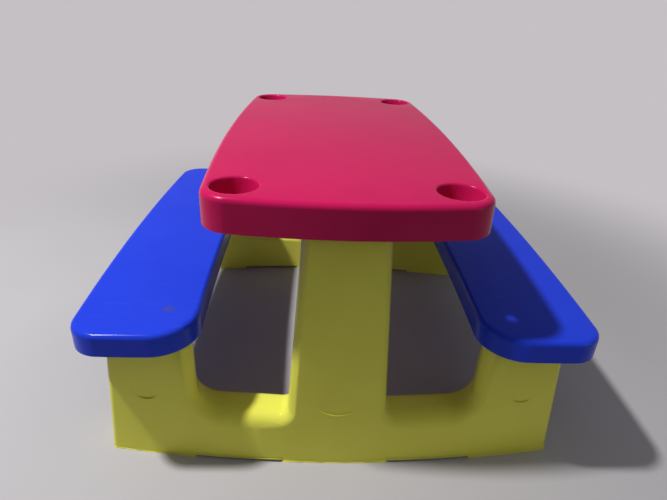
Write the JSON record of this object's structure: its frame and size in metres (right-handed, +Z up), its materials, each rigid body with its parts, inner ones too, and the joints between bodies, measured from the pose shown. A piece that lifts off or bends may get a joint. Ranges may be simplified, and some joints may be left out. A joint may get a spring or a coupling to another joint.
{
  "type": "kids table",
  "caption": "Low plastic picnic table for small children: bowed tray top with moulded cup wells, a bench along each side, on bowed trident leg frames.",
  "frame": {"origin": "on the floor, under the middle of the tabletop", "axes": "+X across the table towards the right bench, +Y along the table away from the camera, +Z up"},
  "size_m": [0.7998, 0.7414, 0.465],
  "materials": {
    "red_plastic": "satin moulded plastic",
    "blue_plastic": "satin moulded plastic",
    "yellow_plastic": "satin moulded plastic",
    "screw_steel": "plain zinc-plated steel"
  },
  "bodies": {
    "root": {"tabletop": "red_plastic", "left_bench": "blue_plastic", "right_bench": "blue_plastic", "front_leg_frame": "yellow_plastic", "rear_leg_frame": "yellow_plastic", "tabletop_screws": "screw_steel", "left_bench_screws": "screw_steel", "right_bench_screws": "screw_steel"}
  },
  "joints": []
}
